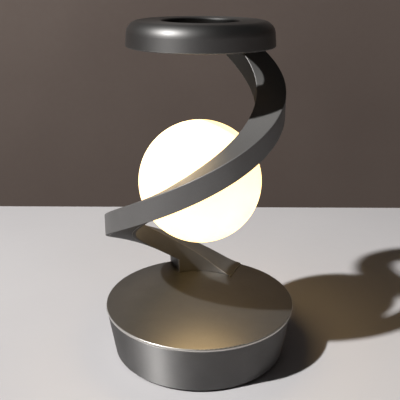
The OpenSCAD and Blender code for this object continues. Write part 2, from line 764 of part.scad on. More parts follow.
module foot_screws() {
    color(steel) at_polar(foot_screw_r, foot_screw_angles, plate_z) screw(plate_t + foot_screw_depth);
}

// Mean direction of a path at each of its points
function headings(path) = [for (i = [0:len(path) - 1])
    let (d = path[min(i + 1, len(path) - 1)] - path[max(i - 1, 0)]) d / norm(d)];

// Part of a vector that is square to a direction, as a unit vector
function square_to(u, d) = let (w = u - (u * d) * d) w / norm(w);

// Side direction at each point, carried along the path without twisting
function path_sides(d, first) = [for (i = 0, u = first; i < len(d);
    i = i + 1, u = i < len(d) ? square_to(u, d[i]) : u) u];

// Rings of points round a path
function tube_rings(path, r, sides, first) = let (d = headings(path), u = path_sides(d, first))
    [for (i = [0:len(path) - 1]) [for (k = [0:sides - 1]) let (b = 360 * k / sides)
        path[i] + r * (cos(b) * u[i] + sin(b) * cross(u[i], d[i]))]];

module lamp_lead() {
    turn = 0.5;
    bend = 2.4;
    level = plate_z + lead_groove_d / 2;
    r = lead_r(lead_angle);
    path = concat(
        [polar(lead_from_r, lead_angle, level), polar(r - turn, lead_angle, level),
         polar(r, lead_angle, level + turn), polar(r, lead_angle, arm_mid(lead_angle) - turn)],
        [for (a = steps_between(lead_angle + 3, lead_last)) polar(lead_r(a), a, arm_mid(a))],
        [polar(lead_r(lead_last) - turn, lead_last, arm_mid(lead_last)),
         polar(holder_wall_x + bend, holder_angle - 1, globe_z),
         polar(holder_wall_x, holder_angle, globe_z), polar(holder_seat_t, holder_angle, globe_z)]);
    color("#d8d2c4") loft(tube_rings(path, lead_d / 2, lead_side_count, [0, 0, 1]));
}

// Children turned so that +Z runs from the globe's centre to the arm
module towards_arm() {
    translate([0, 0, globe_z]) rotate(holder_angle) rotate([0, 90, 0]) children();
}

module lamp_holder() {
    spigot_r = spigot_d / 2;
    lip_x = holder_wall_x + drop_clear;
    color("#e8e6e0") towards_arm() rotate_extrude() polygon([
        [holder_bore_r, 0], [holder_seat_r, 0], [holder_seat_r, holder_seat_t],
        [holder_post_r, holder_seat_t], [holder_post_r, holder_flange_x - holder_flange_t],
        [holder_flange_r, holder_flange_x - holder_flange_t], [holder_flange_r, holder_flange_x],
        [spigot_r, holder_flange_x], [spigot_r, lip_x], [spigot_r + holder_lip, lip_x],
        [spigot_r, lip_x + holder_lip_l], [holder_bore_r, lip_x + holder_lip_l]
    ]);
}

module led_board() {
    color("#f4f4f0") towards_arm() translate([0, 0, -led_board_t]) difference() {
        cylinder(d = led_board_d, h = led_board_t);
        translate([0, 0, -over]) cylinder(r = holder_bore_r, h = led_board_t + 2 * over);
    }
}

module leds() {
    ring = led_board_d / 2 - led_size * 0.8;
    color("#f7e28a") towards_arm() for (k = [0:led_count - 1]) rotate(360 * k / led_count)
        translate([ring - led_size / 2, -led_size / 2, -led_board_t - led_t])
            cube([led_size, led_size, led_t]);
}

// Shell of the globe on one side of its welded seam
module globe_half(side) {
    towards_arm() difference() {
        sphere(r = globe_r);
        sphere(r = globe_in);
        translate([-globe_d, -globe_d, side > 0 ? -2 * globe_d : 0]) cube(2 * globe_d);
        if (side > 0) cylinder(d = spigot_d + 2 * seat_clear, h = globe_d);
    }
}

module globe_arm_half() {
    color("#fff3d6") globe_half(1);
}

module globe_outer_half() {
    color("#fff3d6") globe_half(-1);
}

// Ring outline inside its skin by a depth, seen in the half plane of the turning axis
module ring_profile(inset) {
    c = cos(ring_draft);
    s = sin(ring_draft);
    low = inset > 0 ? ring_z - over : ring_z;
    hole = ring_hole_r + inset;
    round = ring_round - inset;
    soft = max(ring_hole_round - inset, 0.1);
    top = ring_top - inset;
    edge = ring_r - inset / c - (low - ring_z) * tan(ring_draft);
    corner = inset > 0 ? [[edge, low]]
        : [[edge - ring_edge, low], [edge - ring_edge * tan(ring_draft), low + ring_edge]];
    polygon(concat([[hole, low]], corner, [[ring_centre_r + round * c, ring_centre_z + round * s],
             [ring_centre_r, top], [hole + soft, top], [hole, top - soft]]));
    translate([ring_centre_r, ring_centre_z]) circle(round);
    translate([hole + soft, top - soft]) circle(soft);
}

module top_ring() {
    boss_z = ring_z + ring_plate_t;
    color(body_paint) difference() {
        union() {
            difference() {
                rotate_extrude() ring_profile(0);
                rotate_extrude() ring_profile(ring_wall);
            }
            at_polar(ring_screw_r, ring_screw_angles, boss_z)
                cylinder(d = ring_boss_d, h = ring_h - ring_plate_t - ring_wall / 2);
        }
        at_polar(ring_screw_r, ring_screw_angles, boss_z - over)
            cylinder(d = screw_d + 2 * seat_clear, h = ring_screw_bore + over);
    }
}

module ring_plate() {
    color(body_paint) difference() {
        translate([0, 0, ring_z]) cylinder(r = ring_plate_out, h = ring_plate_t);
        translate([0, 0, ring_z - over]) cylinder(r = ring_plate_in, h = ring_plate_t + 2 * over);
        at_polar(ring_screw_r, ring_screw_angles, ring_z - over) {
            cylinder(d = screw_d + 2 * drop_clear, h = ring_plate_t + 2 * over);
            cylinder(d = screw_head_d + 2 * drop_clear, h = screw_head_h + over);
        }
        for (r = [top_screw_in, top_screw_out]) translate(polar(r, top_screw_angle, ring_z - over))
            cylinder(d = screw_d + 2 * drop_clear, h = ring_plate_t + 2 * over);
    }
}

module arm_top_screws() {
    color(steel) for (r = [top_screw_in, top_screw_out])
        translate(polar(r, top_screw_angle, ring_z + ring_plate_t)) rotate([180, 0, 0])
            screw(ring_plate_t + top_screw_depth);
}

module ring_screws() {
    color(steel) at_polar(ring_screw_r, ring_screw_angles, ring_z + screw_head_h)
        screw(ring_plate_t - screw_head_h + ring_screw_bore - screw_end_clear);
}

base_housing();
bottom_cover();
foot_ring();
cover_screws();
cell();
main_board();
board_screws();
charging_inlet();
push_switch();
gear_motor();
motor_screws();
spindle_bush();
thrust_washer();
brush_block();
brushes();
power_button();
switch_plunger();
motor_shaft();
pinion();
turntable();
spindle();
driven_gear();
gear_screws();
retaining_clip();
slip_ring();
slip_ring_tracks();
spiral_arm();
arm_strip();
foot_screws();
lamp_lead();
lamp_holder();
led_board();
leds();
globe_arm_half();
globe_outer_half();
ring_plate();
arm_top_screws();
top_ring();
ring_screws();
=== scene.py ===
from math import ceil, cos, pi, radians, sin, sqrt

import bmesh
import bpy
from mathutils import Euler, Matrix, Vector


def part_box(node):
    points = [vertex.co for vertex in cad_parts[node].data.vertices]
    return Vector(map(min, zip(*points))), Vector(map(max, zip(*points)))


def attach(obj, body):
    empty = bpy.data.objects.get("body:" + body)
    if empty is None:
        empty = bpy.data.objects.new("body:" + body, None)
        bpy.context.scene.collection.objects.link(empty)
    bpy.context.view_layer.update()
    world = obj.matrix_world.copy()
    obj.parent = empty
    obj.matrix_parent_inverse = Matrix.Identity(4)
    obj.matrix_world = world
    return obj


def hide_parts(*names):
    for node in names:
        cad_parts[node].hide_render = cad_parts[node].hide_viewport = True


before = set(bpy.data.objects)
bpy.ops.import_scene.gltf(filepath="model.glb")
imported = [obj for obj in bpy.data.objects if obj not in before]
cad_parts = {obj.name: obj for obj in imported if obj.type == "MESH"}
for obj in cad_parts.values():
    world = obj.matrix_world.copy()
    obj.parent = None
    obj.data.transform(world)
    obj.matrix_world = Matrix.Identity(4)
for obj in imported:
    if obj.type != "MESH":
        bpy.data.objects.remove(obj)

scene = bpy.context.scene
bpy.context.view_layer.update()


# Table, light and camera: a pale table top whose back edge stands before a brown-grey wall, in a
# dim room under one small panel, far off and high at the front left. The camera looks slightly down.
MM = 0.001


def new_finish(name):
    """Node material whose patterns follow the lamp's own frame, in metres."""
    material = bpy.data.materials.new(name)
    material.use_nodes = True
    tree = material.node_tree
    shader = tree.nodes["Principled BSDF"]
    place = tree.nodes.new("ShaderNodeTexCoord").outputs["Object"]
    return material, tree, shader, place


def grain(tree, place, size_mm, detail=2.0, stretch=(1, 1, 1)):
    """Soft random pattern with features of about size_mm, from 0 to 1."""
    mapping = tree.nodes.new("ShaderNodeMapping")
    mapping.inputs["Scale"].default_value = stretch
    tree.links.new(place, mapping.inputs["Vector"])
    noise = tree.nodes.new("ShaderNodeTexNoise")
    noise.inputs["Scale"].default_value = 1 / (size_mm * MM)
    noise.inputs["Detail"].default_value = detail
    tree.links.new(mapping.outputs["Vector"], noise.inputs["Vector"])
    return noise.outputs["Fac"]


def between(tree, value, low, high, first=0.3, last=0.7):
    """Number that runs from low to high while a pattern runs from first to last."""
    spread = tree.nodes.new("ShaderNodeMapRange")
    for socket, number in (("From Min", first), ("From Max", last), ("To Min", low), ("To Max", high)):
        spread.inputs[socket].default_value = number
    tree.links.new(value, spread.inputs["Value"])
    return spread.outputs["Result"]


def two_tone(tree, share, first, second):
    """Colour that runs from the first to the second as the share goes from 0 to 1."""
    mix = tree.nodes.new("ShaderNodeMix")
    mix.data_type = "RGBA"
    tree.links.new(share, mix.inputs[0])
    for socket, colour in ((mix.inputs[6], first), (mix.inputs[7], second)):
        if isinstance(colour, tuple):
            socket.default_value = (*colour, 1)
        else:
            tree.links.new(colour, socket)
    return mix.outputs[2]


def tint(tree, shader, share, first, second):
    """Gives a surface a colour that runs from the first to the second along a share."""
    tree.links.new(two_tone(tree, share, first, second), shader.inputs["Base Color"])


def roughen(tree, shader, pattern, smooth, rough):
    """Gives a surface a roughness that follows a pattern."""
    tree.links.new(between(tree, pattern, smooth, rough), shader.inputs["Roughness"])


def upward(tree, vector):
    """Upward part of a place or a direction."""
    parts = tree.nodes.new("ShaderNodeSeparateXYZ")
    tree.links.new(vector, parts.inputs["Vector"])
    return parts.outputs["Z"]


def new_piece(name, shape, material, sharp_deg=30):
    """Object from a bmesh, smooth but for edges sharper than an angle, with flat faces kept flat."""
    mesh = bpy.data.meshes.new(name)
    bmesh.ops.recalc_face_normals(shape, faces=shape.faces)
    shape.to_mesh(mesh)
    shape.free()
    mesh.shade_smooth()
    mesh.set_sharp_from_angle(angle=radians(sharp_deg))
    mesh.materials.append(material)
    piece = bpy.data.objects.new(name, mesh)
    scene.collection.objects.link(piece)
    flats = piece.modifiers.new("flats", "WEIGHTED_NORMAL")
    flats.keep_sharp = True
    return piece


def flat_square(name, half, placing, material):
    """Large flat square of the setting, stood in its place by a matrix."""
    shape = bmesh.new()
    bmesh.ops.create_grid(shape, x_segments=4, y_segments=4, size=half, matrix=placing)
    return new_piece(name, shape, material)


pale_table, tree, shader, place = new_finish("pale_table")
clouds = between(tree, grain(tree, place, size_mm=160, detail=3), 0, 1)
tint(tree, shader, clouds, (0.605, 0.594, 0.612), (0.645, 0.634, 0.652))
roughen(tree, shader, grain(tree, place, size_mm=6), smooth=0.6, rough=0.7)
table_half = 0.42
table_back = 0.214
lying = Matrix.Translation((0, table_back - table_half, 0))
table_top = flat_square("table_top", table_half, lying, pale_table)

grey_wall, tree, shader, place = new_finish("grey_wall")
clouds = between(tree, grain(tree, place, size_mm=300, detail=3), 0, 1)
tint(tree, shader, clouds, (0.13, 0.1, 0.088), (0.155, 0.122, 0.107))
roughen(tree, shader, grain(tree, place, size_mm=9), smooth=0.75, rough=0.85)
wall_distance = 0.75
wall_half = 3.0
wall_top = 0.6
upright = Matrix.Translation((0, wall_distance, wall_top - wall_half)) @ Matrix.Rotation(pi / 2, 4, "X")
backdrop = flat_square("backdrop", wall_half, upright, grey_wall)

panel = bpy.data.lights.new("panel", "AREA")
panel.size = 0.07
panel.energy = 64.0
panel.color = (1, 0.985, 0.96)
stand = bpy.data.objects.new("panel", panel)
stand.location = (-1.34, -0.79, 1.64)
stand.visible_camera = False
lamp_middle = Vector((0, 0, 90 * MM))
stand.rotation_euler = (lamp_middle - stand.location).to_track_quat("-Z", "Y").to_euler()
scene.collection.objects.link(stand)

room = bpy.data.worlds.new("room")
room.use_nodes = True
tree = room.node_tree
direction = tree.nodes.new("ShaderNodeTexCoord").outputs["Generated"]
height = between(tree, upward(tree, direction), 0, 1, first=0.1, last=0.5)
dimmer_above = two_tone(tree, height, (0.085, 0.07, 0.063), (0.015, 0.0145, 0.014))
tree.links.new(dimmer_above, tree.nodes["Background"].inputs["Color"])
scene.world = room
scene.view_settings.view_transform = "Standard"

lens = bpy.data.cameras.new("camera")
lens.sensor_width = 36.0
lens.lens = 57.17
camera = bpy.data.objects.new("camera", lens)
eye = Matrix.Translation((0, -0.3057, 0.1936))
tilt = Euler((radians(70.21), 0, 0)).to_matrix().to_4x4()
roll = Matrix.Rotation(radians(0.24), 4, "Z")
camera.matrix_world = eye @ tilt @ roll
scene.collection.objects.link(camera)
scene.camera = camera


# Bottom cover: a dark moulded ABS disc that closes the base from below, with posts for the main
# board. Its face has the mould's fine spark grain.
def relief(tree, shader, height, depth_mm):
    """Gives a surface fine relief of a real depth."""
    bump = tree.nodes.new("ShaderNodeBump")
    bump.inputs["Distance"].default_value = depth_mm * MM
    tree.links.new(height, bump.inputs["Height"])
    tree.links.new(bump.outputs["Normal"], shader.inputs["Normal"])


def dress(material, *nodes):
    """Gives CAD nodes a finish."""
    for node in nodes:
        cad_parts[node].material_slots[0].material = material


dark_plastic, tree, shader, place = new_finish("dark_plastic")
spark = grain(tree, place, size_mm=0.35, detail=3)
clouds = between(tree, grain(tree, place, size_mm=9), 0, 1)
tint(tree, shader, clouds, (0.026, 0.026, 0.028), (0.036, 0.036, 0.038))
roughen(tree, shader, spark, smooth=0.48, rough=0.62)
relief(tree, shader, spark, depth_mm=0.02)
dress(dark_plastic, "bottom_cover")


# Foot ring: a soft rubber band glued into a groove of the bottom cover. It keeps the lamp from
# sliding, and fine rings in its face are pressed into it by its mould.
rubber, tree, shader, place = new_finish("rubber")
rings = tree.nodes.new("ShaderNodeTexWave")
rings.wave_type = "RINGS"
rings.rings_direction = "Z"
rings.inputs["Scale"].default_value = 450
tree.links.new(place, rings.inputs["Vector"])
dust = grain(tree, place, size_mm=2.5, detail=4)
dusty = between(tree, dust, 0, 1, first=0.45, last=0.75)
tint(tree, shader, dusty, (0.016, 0.016, 0.016), (0.042, 0.04, 0.038))
roughen(tree, shader, dust, smooth=0.78, rough=0.92)
relief(tree, shader, rings.outputs["Fac"], depth_mm=0.08)
dress(rubber, "foot_ring")


# Cover screws: three small zinc-plated steel pan-head screws with a cross recess, turned up from
# below through the cover into the bosses of the housing.
def speckled(name, tones, roughness, size_mm, detail, metal=0.0, depth_mm=0.0, stretch=(1, 1, 1)):
    """Finish whose colour, roughness and relief all follow one random pattern."""
    material, tree, shader, place = new_finish(name)
    pattern = grain(tree, place, size_mm, detail, stretch)
    tint(tree, shader, between(tree, pattern, 0, 1), *tones)
    roughen(tree, shader, pattern, *roughness)
    shader.inputs["Metallic"].default_value = metal
    if depth_mm:
        relief(tree, shader, pattern, depth_mm)
    return material


def arc(x, y, radius, start_deg, sweep_deg=90, steps=5):
    """Points of a round stretch about a centre at x and y."""
    turns = [radians(start_deg + sweep_deg * k / steps) for k in range(steps + 1)]
    return [(x + radius * cos(turn), y + radius * sin(turn)) for turn in turns]


def bridge(shape, loops):
    """Skin over a run of loops that all have the same number of points."""
    for one, two in zip(loops, loops[1:]):
        for j in range(len(one)):
            k = (j + 1) % len(one)
            shape.faces.new((one[j], one[k], two[k], two[j]))


def fan(shape, loop, tip):
    """Skin between a loop and one point."""
    for j in range(len(loop)):
        shape.faces.new((loop[j], loop[(j + 1) % len(loop)], tip))


steel = speckled("steel", tones=((0.5, 0.5, 0.51), (0.66, 0.66, 0.67)), roughness=(0.24, 0.4),
                 size_mm=0.5, detail=4, metal=1.0, depth_mm=0.006, stretch=(1, 1, 12))
head_radius = 1.8 * MM
head_height = 1.1 * MM
head_rim = 0.35 * head_height
head_turns = 48
flat_rings = 14
shank_radius = 1.0 * MM
slot_half = 0.26 * MM
slot_reach = 0.62 * head_radius
slot_depth = 0.55 * head_height
slot_rise = 0.5
screw_up = Vector((0, 0, 1))


def screw(shape, seat, length):
    """Upright screw whose pan head hangs below its seat, with a cross recess."""
    flat = head_radius - head_rim
    rows = [(shank_radius, length), (shank_radius, 0), (head_radius, 0)]
    rows += arc(flat, head_rim - head_height, head_rim, 0, -90, steps=4)
    rows += [(flat * (1 - k / flat_rings), -head_height) for k in range(1, flat_rings)]
    side = screw_up.orthogonal().normalized()
    other = screw_up.cross(side)
    loops = []
    for r, z in rows:
        loop = []
        for j in range(head_turns):
            turn = 2 * pi * j / head_turns
            x, y = r * cos(turn), r * sin(turn)
            near, far = sorted((abs(x), abs(y)))
            in_slot = z == -head_height and near < slot_half and far < slot_reach
            drop = slot_depth * (1 - slot_rise * far / slot_reach) if in_slot else 0
            loop.append(shape.verts.new(seat + side * x + other * y + screw_up * (z + drop)))
        loops.append(loop)
    bridge(shape, loops)
    shape.faces.new(loops[0])
    fan(shape, loops[-1], shape.verts.new(seat + screw_up * (slot_depth - head_height)))


def screw_row(name, node, circle, angles, low, high, body):
    """All screws of one node, on a circle about the lamp's axis, as one piece."""
    seat_height = low.z + head_height
    shape = bmesh.new()
    for angle in angles:
        seat = Vector((circle * cos(radians(angle)), circle * sin(radians(angle)), seat_height))
        screw(shape, seat, high.z - seat_height)
    piece = new_piece(name, shape, steel, sharp_deg=40)
    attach(piece, body)
    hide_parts(node)


low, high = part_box("cover_screws")
cover_screw_circle = -(low.x + head_radius)
cover_screw_angles = (50, 180, 310)
screw_row("cover_screws_cross", "cover_screws", cover_screw_circle, cover_screw_angles, low, high, "base")


# Base housing: the tapered shell of the base with its inner deck, moulded in ABS and sprayed with
# satin graphite paint full of fine metal flake. Its side is brushed in fine rings, its edges are
# lightened as edge wear and painted highlight, and inner walls and undersides get painted shade.
def edge_wear_and_highlight_share(tree, reach_mm):
    """Share of edge wear and painted highlight: 1 along sharp edges, 0 on plain faces."""
    bevel = tree.nodes.new("ShaderNodeBevel")
    bevel.samples = 6
    bevel.inputs["Radius"].default_value = reach_mm * MM
    surface = tree.nodes.new("ShaderNodeNewGeometry")
    dot = tree.nodes.new("ShaderNodeVectorMath")
    dot.operation = "DOT_PRODUCT"
    tree.links.new(bevel.outputs["Normal"], dot.inputs[0])
    tree.links.new(surface.outputs["True Normal"], dot.inputs[1])
    return between(tree, dot.outputs["Value"], 0, 1, first=0.995, last=0.8)


def from_axis(tree, place):
    """A point's way straight out from the lamp's axis."""
    flat = tree.nodes.new("ShaderNodeVectorMath")
    flat.operation = "MULTIPLY"
    flat.inputs[1].default_value = (1, 1, 0)
    tree.links.new(place, flat.inputs[0])
    return flat.outputs["Vector"]


def facing_axis(tree, place):
    """Share of a face's look at the lamp's axis: 1 on inner walls, 0 on all others."""
    outward = tree.nodes.new("ShaderNodeVectorMath")
    outward.operation = "NORMALIZE"
    tree.links.new(from_axis(tree, place), outward.inputs[0])
    dot = tree.nodes.new("ShaderNodeVectorMath")
    dot.operation = "DOT_PRODUCT"
    tree.links.new(outward.outputs["Vector"], dot.inputs[0])
    tree.links.new(place.node.outputs["Normal"], dot.inputs[1])
    return between(tree, dot.outputs["Value"], 1, 0, first=-0.9, last=-0.6)


# Painted highlight on the turntable's rim: how far the rim is lightened and the width over which it fades in.
rim_highlight_share = 0.55
rim_highlight_fade_mm = 0.15


def paint_rim_highlight(tree, place, wear_and_highlight, rim_mm):
    """Share of edge wear and painted highlight, with a painted highlight added outside a radius."""
    reach = tree.nodes.new("ShaderNodeVectorMath")
    reach.operation = "LENGTH"
    tree.links.new(from_axis(tree, place), reach.inputs[0])
    painted_rim = between(tree, reach.outputs["Value"], 0, rim_highlight_share,
                     first=(rim_mm - rim_highlight_fade_mm) * MM, last=rim_mm * MM)
    larger = tree.nodes.new("ShaderNodeMath")
    larger.operation = "MAXIMUM"
    tree.links.new(wear_and_highlight, larger.inputs[0])
    tree.links.new(painted_rim, larger.inputs[1])
    return larger.outputs["Value"]


# Shares of the tone: flake and cloud are the paint's own; the inner-wall and downward-face shares are painted
# shade; the edge share is wear and painted highlight.
paint_and_shade_shares = {"dull flake": 0.92, "bright flake": 1.12, "cloud": 0.85, "thin": 0.7, "bare": 0.13,
               "underside": 0.3, "edge_highlight_and_wear": 3.4}
thin_below_mm = 45
inner_shade_full_mm = 140


def satin_paint(name, tone, metal, smooth, rough, brushed=0.0, rim_mm=None):
    """Sprayed satin paint with fine metal flake, a little uneven; inner walls and undersides get painted
    shade, and edges wear and painted highlight.
    """
    material, tree, shader, place = new_finish(name)
    tone_for = {kind: tuple(share * channel for channel in tone) for kind, share in paint_and_shade_shares.items()}
    flake = grain(tree, place, size_mm=0.25)
    clouds = grain(tree, place, size_mm=14, detail=3)
    paint = two_tone(tree, between(tree, flake, 0, 1), tone_for["dull flake"], tone_for["bright flake"])
    even = two_tone(tree, between(tree, clouds, 0, 0.5), paint, tone_for["cloud"])
    # Painted shade: inner walls that face the lamp's axis are darkened, more so higher up the lamp.
    height = between(tree, upward(tree, place), 0, 1, first=thin_below_mm * MM, last=inner_shade_full_mm * MM)
    inner = two_tone(tree, height, tone_for["thin"], tone_for["bare"])
    walls = two_tone(tree, facing_axis(tree, place), even, inner)
    # Painted shade: faces that turn downward are darkened.
    facing_down = between(tree, upward(tree, place.node.outputs["Normal"]), 1, 0, first=-0.6, last=-0.3)
    paint_with_shade = two_tone(tree, facing_down, walls, tone_for["underside"])
    # Painted highlight with edge wear: sharp edges are lightened, and where a rim radius is given, the rim
    # too.
    wear_and_highlight = edge_wear_and_highlight_share(tree, reach_mm=0.35)
    if rim_mm:
        wear_and_highlight = paint_rim_highlight(tree, place, wear_and_highlight, rim_mm)
    tint(tree, shader, wear_and_highlight, paint_with_shade, tone_for["edge_highlight_and_wear"])
    roughen(tree, shader, clouds, smooth, rough)
    shader.inputs["Metallic"].default_value = metal
    around = tree.nodes.new("ShaderNodeTangent")
    around.direction_type = "RADIAL"
    around.axis = "Z"
    tree.links.new(around.outputs["Tangent"], shader.inputs["Tangent"])
    shader.inputs["Anisotropic"].default_value = brushed
    shader.inputs["Anisotropic Rotation"].default_value = 0.25
    relief(tree, shader, flake, depth_mm=0.004)
    return material


brushed_graphite = satin_paint("brushed_graphite_paint", (0.225, 0.222, 0.221), metal=0.88,
                               smooth=0.6, rough=0.64, brushed=0.9)
dress(brushed_graphite, "base_housing")


# Cell: a flat lithium pouch in grey foil with folded sides and one sealed end, stuck to the cover.
# The foil has shallow creases.
cell_foil = speckled("cell_foil", tones=((0.4, 0.41, 0.43), (0.52, 0.53, 0.55)), roughness=(0.3, 0.46),
                     size_mm=5, detail=5, metal=0.6, depth_mm=0.25)
dress(cell_foil, "cell")


# Main board: a glass-fibre board with green solder mask over its copper tracks, on two posts of
# the cover, held by two screws.
solder_mask, tree, shader, place = new_finish("solder_mask")
tracks = tree.nodes.new("ShaderNodeTexBrick")
tracks.inputs["Scale"].default_value = 320
tracks.inputs["Mortar Size"].default_value = 0.06
tree.links.new(place, tracks.inputs["Vector"])
weave = grain(tree, place, size_mm=0.8, detail=3)
mask = two_tone(tree, between(tree, weave, 0, 1), (0.012, 0.1, 0.045), (0.02, 0.14, 0.065))
tint(tree, shader, tracks.outputs["Fac"], mask, (0.05, 0.2, 0.09))
roughen(tree, shader, weave, smooth=0.25, rough=0.4)
relief(tree, shader, tracks.outputs["Fac"], depth_mm=0.03)
dress(solder_mask, "main_board")
dress(steel, "board_screws")


# Charging inlet: a drawn steel shell, rounded at its mouth, round a black tongue with a row of
# plated contacts. It is soldered to the main board behind its slot in the housing.
def stadium(width, height, steps=12):
    """Outline of a flat slot with round ends, centred on 0."""
    right = arc((width - height) / 2, 0, height / 2, -90, 180, steps)
    return right + [(-x, -z) for x, z in right]


def cuboid(shape, low, high, soft):
    """Block between two corners with softened edges."""
    made = bmesh.ops.create_cube(shape, size=1.0)["verts"]
    for vert in made:
        vert.co = Vector([low[i] + (vert.co[i] + 0.5) * (high[i] - low[i]) for i in range(3)])
    edges = {edge for vert in made for edge in vert.link_edges}
    bmesh.ops.bevel(shape, geom=list(edges), offset=soft, segments=2, profile=0.5, affect="EDGES")


low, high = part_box("charging_inlet")
middle = (low + high) / 2
width, height = high.x - low.x, high.z - low.z
shell_wall = 0.4 * MM
shell_back = 1.0 * MM
lip = shell_wall / 2
rows = [(0, low.y)] + arc(lip, high.y - lip, lip, 180, -180, steps=6) + [(shell_wall, low.y + shell_back)]
shape = bmesh.new()
loops = []
for inset, y in rows:
    outline = stadium(width - 2 * inset, height - 2 * inset)
    loops.append([shape.verts.new((middle.x + x, y, middle.z + z)) for x, z in outline])
bridge(shape, loops)
shape.faces.new(loops[0])
shape.faces.new(loops[-1])
inlet_shell = new_piece("inlet_shell", shape, steel, sharp_deg=40)
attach(inlet_shell, "base")
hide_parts("charging_inlet")

tongue_half = 0.33 * width
tongue_thick = 0.7 * MM
tongue_root = low.y + 0.9 * MM
tongue_end = high.y - 0.7 * MM
shape = bmesh.new()
cuboid(shape, (middle.x - tongue_half, tongue_root, middle.z - tongue_thick / 2),
       (middle.x + tongue_half, tongue_end, middle.z + tongue_thick / 2), soft=0.12 * MM)
inlet_tongue = new_piece("inlet_tongue", shape, dark_plastic)
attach(inlet_tongue, "base")

gilt = speckled("gilt", tones=((0.62, 0.42, 0.14), (0.78, 0.56, 0.24)), roughness=(0.2, 0.34),
                size_mm=0.2, detail=2, metal=1.0, stretch=(6, 1, 1))
contact_count = 12
contact_pitch = 0.45 * MM
contact_width = 0.26 * MM
contact_thick = 0.08 * MM
contact_level = 0.36 * MM
contact_root = low.y + 1.4 * MM
contact_end = tongue_end - 0.6 * MM
shape = bmesh.new()
for side in (-1, 1):
    z = middle.z + side * contact_level
    for k in range(contact_count):
        x = middle.x + (k - (contact_count - 1) / 2) * contact_pitch
        cuboid(shape, (x - contact_width / 2, contact_root, z - contact_thick / 2),
               (x + contact_width / 2, contact_end, z + contact_thick / 2), soft=0.02 * MM)
inlet_contacts = new_piece("inlet_contacts", shape, gilt)
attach(inlet_contacts, "base")


# Button and its switch: a dished push button of dark ABS that slides in a hole of the housing and
# bears on the white plunger of a small switch on the main board.
low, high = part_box("power_button")
middle = (low + high) / 2
button_radius = 3.5 * MM
button_turns = 72
flange_radius = (high.x - low.x) / 2
flange_front = low.y + 1.0 * MM
round_edge = 0.6 * MM
dish = 0.3 * MM
dish_rings = 8
dish_radius = button_radius - round_edge
rows = [(flange_radius, low.y), (flange_radius, flange_front), (button_radius, flange_front)]
rows += arc(dish_radius, high.y - round_edge, round_edge, 0, steps=6)
for k in range(1, dish_rings):
    share = 1 - k / dish_rings
    rows.append((dish_radius * share, high.y - dish * (1 - share ** 2)))
shape = bmesh.new()
loops = []
for r, y in rows:
    circle = arc(0, 0, r, 0, 360, button_turns)[:-1]
    loops.append([shape.verts.new((middle.x + x, y, middle.z + z)) for x, z in circle])
bridge(shape, loops)
fan(shape, loops[0], shape.verts.new((middle.x, low.y, middle.z)))
fan(shape, loops[-1], shape.verts.new((middle.x, high.y - dish, middle.z)))
button_cap = new_piece("button_cap", shape, dark_plastic, sharp_deg=40)
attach(button_cap, "button")
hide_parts("power_button")

white_nylon, tree, shader, place = new_finish("white_nylon")
milk = grain(tree, place, size_mm=3, detail=3)
tint(tree, shader, between(tree, milk, 0, 1), (0.76, 0.74, 0.66), (0.84, 0.82, 0.75))
roughen(tree, shader, grain(tree, place, size_mm=0.4), smooth=0.42, rough=0.55)
shader.inputs["Subsurface Weight"].default_value = 0.2
shader.inputs["Subsurface Radius"].default_value = (0.0015, 0.0012, 0.001)
relief(tree, shader, milk, depth_mm=0.01)
dress(dark_plastic, "push_switch")
dress(white_nylon, "switch_plunger")


# Gear motor: a small motor with its own reduction gear in a plated steel can, held by two ears
# under the deck. Its shaft carries the pinion, moulded in nylon, that turns the head.
dress(steel, "gear_motor", "motor_screws", "motor_shaft")
dress(white_nylon, "pinion")


# Spindle bearing: a sintered bronze bush pressed into the deck, under a nylon thrust washer. The
# spindle turns in the bush, and the weight of the turning head rests on the washer.
bronze, tree, shader, place = new_finish("sintered_bronze")
pores = tree.nodes.new("ShaderNodeTexVoronoi")
pores.inputs["Scale"].default_value = 4500
tree.links.new(place, pores.inputs["Vector"])
from_pore = between(tree, pores.outputs["Distance"], 0, 1, first=0.1, last=0.6)
tint(tree, shader, from_pore, (0.3, 0.19, 0.08), (0.52, 0.35, 0.16))
tree.links.new(between(tree, from_pore, 0.55, 0.36, first=0, last=1), shader.inputs["Roughness"])
shader.inputs["Metallic"].default_value = 1.0
relief(tree, shader, pores.outputs["Distance"], depth_mm=0.02)
dress(bronze, "spindle_bush")
dress(white_nylon, "thrust_washer")


# Brushes: two copper pins in a dark moulded block let into the deck. They press on the slip ring
# and carry current up to the turning head.
copper = speckled("plain_copper", tones=((0.5, 0.22, 0.1), (0.72, 0.38, 0.2)), roughness=(0.42, 0.26),
                  size_mm=1.2, detail=4, metal=1.0, depth_mm=0.006)
dress(dark_plastic, "brush_block")
dress(copper, "brushes")


# Turntable: the flat top plate of the base, in a smoother graphite paint. Its narrow rounded
# rim over an open seam carries a painted highlight. It turns on the spindle, with the driven gear under it.
low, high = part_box("turntable")
# Painted highlight: the plate's paint is lightened outside this radius along its rim.
rim_width_mm = 0.2
plate_graphite = satin_paint("plate_graphite_paint", (0.27, 0.264, 0.252), metal=0.82,
                             smooth=0.33, rough=0.37, rim_mm=high.x / MM - rim_width_mm)
dress(plate_graphite, "turntable")
dress(steel, "spindle", "gear_screws", "retaining_clip")
dress(white_nylon, "driven_gear")


# Slip ring: a ring of circuit board with two bare copper tracks, let into the driven gear. The
# brushes below it bear on the tracks as it turns.
dress(solder_mask, "slip_ring")
dress(copper, "slip_ring_tracks")


